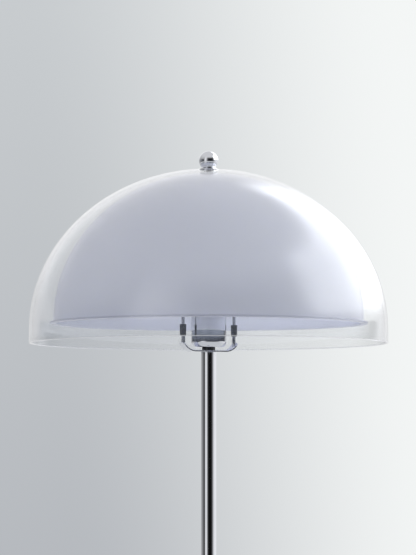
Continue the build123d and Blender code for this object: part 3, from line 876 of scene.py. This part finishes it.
def harp_side(side):
    """Path of one half of the harp's wire, how thick it is at each point, and the crown's height."""
    crown_z = head("swivel_rivet") + PAD_CLEARANCE + PAD_THICKNESS / 2
    leg_top = leg_foot_z + LEG_STRAIGHT
    lean_out, lean_in = sin(radians(LEAN_OUT)), sin(radians(LEAN_IN))
    sweep = (crown_z - leg_top - LEG_BLEND * lean_out - HARP_CORNER * (1 - lean_in)) / (lean_out + lean_in)
    path = [(LEG_OFFSET, leg_foot_z), (LEG_OFFSET, (leg_foot_z + leg_top) / 2)]
    path += arc((LEG_OFFSET + LEG_BLEND, leg_top), LEG_BLEND, 180, 180 - LEAN_OUT, 10)
    end = path[-1]
    centre = (end[0] - sweep * cos(radians(LEAN_OUT)), end[1] + sweep * lean_out)
    path += arc(centre, sweep, -LEAN_OUT, LEAN_IN, 40)[1:]
    end = path[-1]
    centre = (end[0] - HARP_CORNER * cos(radians(LEAN_IN)), end[1] - HARP_CORNER * lean_in)
    path += arc(centre, HARP_CORNER, LEAN_IN, 90, 24)[1:]
    radii = [1.0] * len(path) + [share for _, share in FLATTENED]
    path += [(PAD_RADIUS + past * MM, crown_z) for past, _ in FLATTENED]
    return [(side * x, 0, z) for x, z in path], radii, crown_z


def make_harp():
    """Wire bow with its flattened crown, the two sleeves and the saddle."""
    nickel = finishes["nickel_wire"]
    halves = []
    for side in (-1, 1):
        path, radii, crown_z = harp_side(side)
        inputs = {"Radius": WIRE_RADIUS, "Sides": 28, "Material": nickel}
        halves.append(plain_mesh("half", drawn_curve(path, radii), WIRE, inputs))
    eye = box_section(PIVOT_HOLE, PAD_RADIUS, crown_z - PAD_THICKNESS / 2,
                      crown_z + PAD_THICKNESS / 2, 0.35 * MM)
    pad = turned("pad", eye, nickel)
    put(joined("harp_wire", halves + [pad]), "harp", "harp_bow")

    strap = [make_strap()] + make_post(-1) + make_post(1)
    put(joined("harp_strap", strap), "stand", "harp_saddle")

    for side, name in ((-1, "left"), (1, "right")):
        node = f"harp_ferrule_{name}"
        low, high = foot(node), head(node)
        neck = high - SLEEVE_NECK
        sleeve = soften([(SLEEVE_BORE, low, 0.1 * MM), (SLEEVE_NARROW, low, 0.25 * MM),
                         (SLEEVE_WIDE, high, 0.5 * MM), (POST_BORE, high, 0.1 * MM),
                         (POST_BORE, neck, 0), (SLEEVE_BORE, neck, 0)])
        lathe_piece(f"sleeve_{name}", node, sleeve, f"ferrule_{name}", steps=72,
                    place=(side * LEG_OFFSET, 0, 0))


# ---------------- socket, switch and bulb


def make_socket():
    """Insulator, screw shell, switch bushing and knob."""
    floor, top = foot("screw_shell"), head("socket_body")
    insulator = soften([(0, floor, 0), (SHELL_SEAT, floor, 0), (SHELL_SEAT, top, 0.5 * MM),
                        (cup_radius, top, 0.8 * MM), (cup_radius, cup_top, 0.1 * MM),
                        (INSULATOR_RADIUS, cup_top, 0),
                        (INSULATOR_RADIUS, foot("socket_body"), INSULATOR_ROUNDING),
                        (0, foot("socket_body"), 0)])
    lathe_piece("socket_insulator", "socket_body", insulator, "stand", steps=128)

    shell = radius("screw_shell")
    sleeve = box_section(shell - SHELL_WALL, shell, floor, head("screw_shell"), 0.05 * MM)
    lathe_piece("lamp_shell", "screw_shell", split_runs(sleeve, 0.4 * MM), "stand", steps=96,
                **{"Work Foot": floor + 1 * MM, "Work Head": head("screw_shell") - 3 * MM,
                   "Work Radius": shell - 0.1 * MM, "Thread Pitch": LAMP_PITCH, "Thread Depth": 0.25 * MM})

    near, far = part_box("switch_bushing")[0].y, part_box("switch_bushing")[1].y
    bushing = split_runs(box_section(BUSHING_BORE, BUSHING_RADIUS, near, far, 0.25 * MM), 0.1 * MM)
    lathe_piece("switch_collar", "switch_bushing", bushing, "stand", steps=48, rearward_at=switch_z,
                **{"Work Foot": cup_radius + 0.3 * MM, "Work Head": far - 0.3 * MM, "Work Radius": 3.0 * MM,
                   "Thread Pitch": BUSHING_PITCH, "Thread Depth": 0.25 * MM})

    near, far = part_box("switch_knob")[0].y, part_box("switch_knob")[1].y
    knob = soften([(0, near, 0), (KNOB_RADIUS, near, 0.8 * MM), (KNOB_RADIUS, far, 0.8 * MM),
                   (KNOB_RADIUS * 0.62, far, 0.3 * MM), (KNOB_RADIUS * 0.56, far - KNOB_DISH, 0.3 * MM),
                   (0, far - KNOB_DISH, 0)])
    lathe_piece("knob", "switch_knob", split_runs(knob, 0.5 * MM), "switch", steps=240, rearward_at=switch_z,
                **{"Work Foot": near + 0.7 * MM, "Work Head": far - 0.7 * MM,
                   "Work Radius": KNOB_RADIUS * 0.7, "Thread Pitch": 1.0 * MM,
                   "Flutes": KNOB_FLUTES, "Flute Depth": FLUTE_DEPTH})


def bulb_wall(inset, steps=40):
    """Points of the bulb's glass from its neck up to its pole, drawn in by inset."""
    neck, globe = BULB_NECK - inset, BULB_GLOBE - inset
    globe_z = head("bulb_glass") - BULB_GLOBE
    shoulder_z = foot("bulb_contact") + BULB_SHOULDER
    drop = globe_z - shoulder_z
    blend = (neck**2 + drop**2 - globe**2) / (2 * (globe - neck))
    lean = degrees(asin(drop / (globe + blend)))
    flare = arc((neck + blend, shoulder_z), blend, 180, 180 - lean, steps)
    ball = arc((0, globe_z), globe, -lean, 90, steps)
    return [(neck, foot("bulb_glass"))] + flare + ball[1:]


def make_bulb():
    """Frosted bulb with its threaded cap, glass ring and tip."""
    glass = bulb_wall(0) + bulb_wall(GLASS_WALL)[::-1]
    lathe_piece("bulb_envelope", "bulb_glass", glass, "bulb", steps=128)
    low, high, rim = foot("bulb_cap"), head("bulb_cap"), radius("bulb_cap")
    cap = soften([(BULB_NECK, low, 0), (rim, low, 1.2 * MM), (rim, high, 0.3 * MM), (BULB_NECK, high, 0)])
    lathe_piece("bulb_screw_cap", "bulb_cap", split_runs(cap, 0.3 * MM), "bulb", steps=96,
                **{"Work Foot": low + 0.8 * MM, "Work Head": high - 3.4 * MM,
                   "Work Radius": BULB_NECK + 0.3 * MM, "Thread Pitch": LAMP_PITCH,
                   "Thread Depth": 0.55 * MM})
    low, high = foot("bulb_insulator"), head("bulb_insulator")
    ring = soften([(0, low, 0), (RING_FOOT, low, 0.4 * MM), (RING_HEAD, high, 0.3 * MM), (0, high, 0)])
    lathe_piece("bulb_glass_ring", "bulb_insulator", ring, "bulb", steps=64)
    tip = rod_section(radius("bulb_contact"), foot("bulb_contact"), head("bulb_contact"), 0.7 * MM)
    lathe_piece("bulb_tip", "bulb_contact", tip, "bulb", steps=48)


# ---------------- stud, washers, domes and finial


def make_stud():
    """Stud with its hexagon, pivot and rolled thread, the rivet head under it and the rest."""
    zinc = finishes["zinc_steel"]
    rest_foot = foot("shade_rest")
    hub_foot = rest_foot - HUB_HEIGHT
    across = HUB_FLATS / 2 / cos(radians(30))
    hexagon = [(across * cos(radians(60 * k)), across * sin(radians(60 * k))) for k in range(6)]
    hub = prism("hub", hexagon, [hub_foot] * 6, rest_foot, zinc, 0.3 * MM)
    pin = rod_section(PIVOT_RADIUS, foot("swivel_stud"), hub_foot + 0.1 * MM, 0.05 * MM)
    pivot = turned("pivot", pin, zinc, steps=48)
    low, high = rest_foot - 0.1 * MM, head("swivel_stud")
    thread = soften([(0, low, 0), (STUD_RADIUS, low, 0), (STUD_RADIUS, high, 0.8 * MM), (0, high, 0)])
    rod = turned("rod", split_runs(thread, 0.12 * MM), zinc, steps=64, **{
        "Work Foot": rest_foot + 1 * MM, "Work Head": high, "Work Radius": 2.0 * MM,
        "Thread Pitch": STUD_PITCH, "Thread Depth": 0.45 * MM})
    put(joined("shade_stud", [hub, pivot, rod]), "swivel", "swivel_stud")
    rivet = rod_section(radius("swivel_rivet"), foot("swivel_rivet"), head("swivel_rivet"), 0.85 * MM)
    lathe_piece("crown_rivet", "swivel_rivet", rivet, "swivel", steps=64)
    for name, node, body in (("dome_rest", "shade_rest", "swivel"), ("soft_rest", "rest_washer", "shades"),
                             ("soft_spacer", "dome_spacer", "shades"),
                             ("ball_washer", "finial_washer", "shades")):
        washer = box_section(STUD_HOLE, radius(node), foot(node), head(node), 0.3 * MM)
        lathe_piece(name, node, washer, body, steps=128)


def dome_sheet(size, top, equator, steps=110):
    """Points of a half ellipse from its small top flat down to the equator."""
    rise = (top - equator) / sqrt(1 - (DOME_FLAT / size)**2)
    start = acos(DOME_FLAT / size)
    turns = [start * (1 - i / steps) for i in range(steps + 1)]
    return [(size * cos(turn), equator + rise * sin(turn)) for turn in turns]


def dome_section(node, skirt, size, lip=None):
    """Closed section of a dome: outside down to its rim, round it and up the inside."""
    top, rim = head(node), foot(node)
    equator = rim + skirt
    inner = size - DOME_WALL
    section = [(STUD_HOLE, top)] + dome_sheet(size, top, equator)
    if lip:
        lip_radius, lip_thickness = lip
        brim = rim + lip_thickness
        section += [(size, brim + LIP_FILLET)]
        section += arc((size + LIP_FILLET, brim + LIP_FILLET), LIP_FILLET, 180, 270, 5)
        section += arc((lip_radius - RIM_ROUNDING, brim - RIM_ROUNDING), RIM_ROUNDING, 90, 0, 6)
        section += arc((lip_radius - RIM_ROUNDING, rim + RIM_ROUNDING), RIM_ROUNDING, 0, -90, 6)
    else:
        section += arc((size - RIM_ROUNDING, rim + RIM_ROUNDING), RIM_ROUNDING, 0, -90, 8)
    section += arc((inner + RIM_ROUNDING, rim + RIM_ROUNDING), RIM_ROUNDING, 270, 180, 8)
    section += dome_sheet(inner, top - DOME_WALL, equator)[::-1]
    return section + [(STUD_HOLE, top - DOME_WALL)]


def make_domes():
    """The clear dome and the white dome under it."""
    clear = dome_section("outer_dome", OUTER_SKIRT, radius("outer_dome"))
    lathe_piece("clear_shade", "outer_dome", clear, "shades", steps=256)
    lip = (radius("inner_dome"), LIP_THICKNESS)
    white = dome_section("inner_dome", INNER_SKIRT, WHITE_RADIUS, lip)
    lathe_piece("white_shade", "inner_dome", white, "shades", steps=256)


def make_finial():
    """Polished ball, bored for the stud, on its small flat foot."""
    ball = radius("finial_ball")
    seat = foot("finial_ball")
    centre = head("finial_ball") - ball
    start = degrees(asin((seat - centre) / ball))
    bore_top = head("swivel_stud") + BALL_BORE_SPARE
    flat = sqrt(ball**2 - (seat - centre)**2)
    outline = ([(0, bore_top), (STUD_HOLE, bore_top), (STUD_HOLE, seat + 0.3 * MM),
                (STUD_HOLE + 0.3 * MM, seat), (flat - 0.2 * MM, seat)]
               + arc((0, centre), ball, start + BALL_EASING, 90, 64))
    lathe_piece("ball_finial", "finial_ball", outline, "finial", steps=128)


make_base()
make_stem()
make_harp()
make_socket()
make_bulb()
make_stud()
make_domes()
make_finial()

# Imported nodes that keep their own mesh
for node, piece in frame["nodes"].items():
    for place in piece.material_slots:
        place.material = finishes[slot_of[node]]

# ---------------- studio


# The floor is open under the felt, so that light reaches the felt in views from beneath
FLOOR_HOLE, FLOOR_REACH = 0.128, 9.0
FLOOR_DROP = 0.2 * MM
FLOOR_SIDES = 96
# The plain wall grows paler from the first of these heights of the line of sight to the second
WALL_FOOT, WALL_HEAD = -0.026, 0.137


def make_floor():
    """Pale floor, seen from above only."""
    finish = Finish("pale_floor")
    under = finish.add("ShaderNodeNewGeometry", output=6)
    paint = finish.gloss(finish.blend(finish.noise(3), (0.66, 0.67, 0.68, 1), (0.69, 0.70, 0.71, 1)), 0.75)
    clear = finish.add("ShaderNodeBsdfTransparent")
    material = finish.done(finish.mix(under, paint, clear))
    form = bmesh.new()
    turns = [2 * pi * k / FLOOR_SIDES for k in range(FLOOR_SIDES)]
    rings = [[form.verts.new((reach * cos(turn), reach * sin(turn), 0)) for turn in turns]
             for reach in (FLOOR_HOLE, FLOOR_REACH)]
    for k in range(FLOOR_SIDES):
        j = (k + 1) % FLOOR_SIDES
        form.faces.new((rings[0][k], rings[1][k], rings[1][j], rings[0][j]))
    mesh = bpy.data.meshes.new("studio_floor")
    form.to_mesh(mesh)
    form.free()
    mesh.materials.append(material)
    floor = bpy.data.objects.new("studio_floor", mesh)
    bpy.context.scene.collection.objects.link(floor)
    floor.data.transform(Matrix.Translation((0, 0, -FLOOR_DROP)))


def make_room():
    """Soft studio all round. What lights the lamp is a ring of paler and darker stretches, darkest
    behind the camera, with a grey wall at the left, a pale one behind the lamp, a ceiling and a
    bright window at the right. Low down it holds a dark rail with a cool board above it, which the
    cup mirrors. The camera itself sees a plain wall instead, darker towards the lower left."""
    world = bpy.data.worlds.new("studio")
    world.use_nodes = True
    world.node_tree.nodes.clear()
    bpy.context.scene.world = world
    board = Board(world.node_tree)
    way = board.add("ShaderNodeTexCoord", output=0)
    x, y, z = board.split(way)
    ahead = (-sin(CAMERA_AZIMUTH), cos(CAMERA_AZIMUTH))
    forward = x * ahead[0] + y * ahead[1]
    right = x * ahead[1] - y * ahead[0]
    # 0.5 lies behind the camera, and the number rises towards the right
    bearing = right.maths("ARCTAN2", right, 0 - forward) / (2 * pi) + 0.5

    def grey(level):
        return (level, level * 1.005, level * 1.02, 1)

    def cool(level):
        return (level * 0.88, level, level * 1.24, 1)

    def at(angle):
        return 0.5 + angle / 360

    ring = board.add("ShaderNodeValToRGB", {"stops": [
        (0.0, grey(0.72)), (at(-154), grey(0.60)), (at(-116), grey(0.33)), (at(-92), grey(0.22)),
        (at(-75), grey(0.075)), (at(-58), grey(0.09)), (at(-46), grey(0.92)), (at(-34), grey(0.95)),
        (at(-22), grey(0.50)), (at(-10), grey(0.055)), (at(2), grey(0.006)), (at(38), grey(0.006)),
        (at(51), grey(0.055)), (at(66), grey(0.30)), (at(84), grey(0.82)), (at(108), grey(0.98)),
        (at(150), grey(0.92)), (1.0, grey(0.74))]}, {"Fac": bearing})
    window = bearing.eased(at(58), at(84)) * (1 - bearing.eased(at(158), at(174)))
    window *= z.eased(0.07, 0.2) * (1 - z.eased(0.66, 0.80))
    side_wall = (1 - bearing.eased(at(-70), at(-30))) * z.eased(0.16, 0.4)
    cup_ring = board.add("ShaderNodeValToRGB", {"stops": [
        (0.0, cool(0.20)), (at(-128), cool(0.27)),
        (at(60), cool(0.30)), (at(92), cool(0.25)), (at(106), cool(0.34)), (at(116), cool(0.10)),
        (at(126), cool(0.02)), (1.0, cool(0.02))]}, {"Fac": bearing})
    dark_rail = z.eased(0.0375, 0.0390)
    cool_board = z.eased(0.0418, 0.0432)
    low_end = 1 - z.eased(0.062, 0.085)
    low_end *= bearing.eased(at(-146), at(-128)) * (1 - bearing.eased(at(128), at(142)))
    back_wall = 1 - bearing.eased(at(-168), at(-120)) + bearing.eased(at(120), at(165))
    back_wall *= z.eased(0.08, 0.25)
    ceiling = z.eased(0.30, 0.75)
    surround = board.blend(dark_rail * low_end, ring, cool(0.035))
    surround = board.blend(cool_board * low_end, surround, cup_ring)
    surround = board.blend(side_wall, surround, grey(0.52))
    surround = board.blend(back_wall, surround, grey(1.05))
    surround = board.blend(ceiling, surround, grey(0.72))
    surround = board.blend(window, surround, (2.55, 2.6, 2.66, 1))

    height = board.add("ShaderNodeClamp", None, {0: (z - WALL_FOOT) / (WALL_HEAD - WALL_FOOT)})
    across = (right + z * 0.10).eased(-0.045, 0.075)
    wall = board.blend(height, (0.465, 0.485, 0.515, 1), (0.575, 0.60, 0.62, 1))
    wall = board.blend(across, wall, (0.905, 0.925, 0.92, 1))
    wall = board.blend((0 - right).eased(0.08, 0.45), wall, (0.80, 0.81, 0.815, 1))
    seen = board.add("ShaderNodeLightPath")
    colour = board.blend(seen, surround, wall)
    light = board.add("ShaderNodeBackground", None, {"Color": colour, "Strength": 1.0})
    board.add("ShaderNodeOutputWorld", None, {"Surface": light})


make_floor()
make_room()
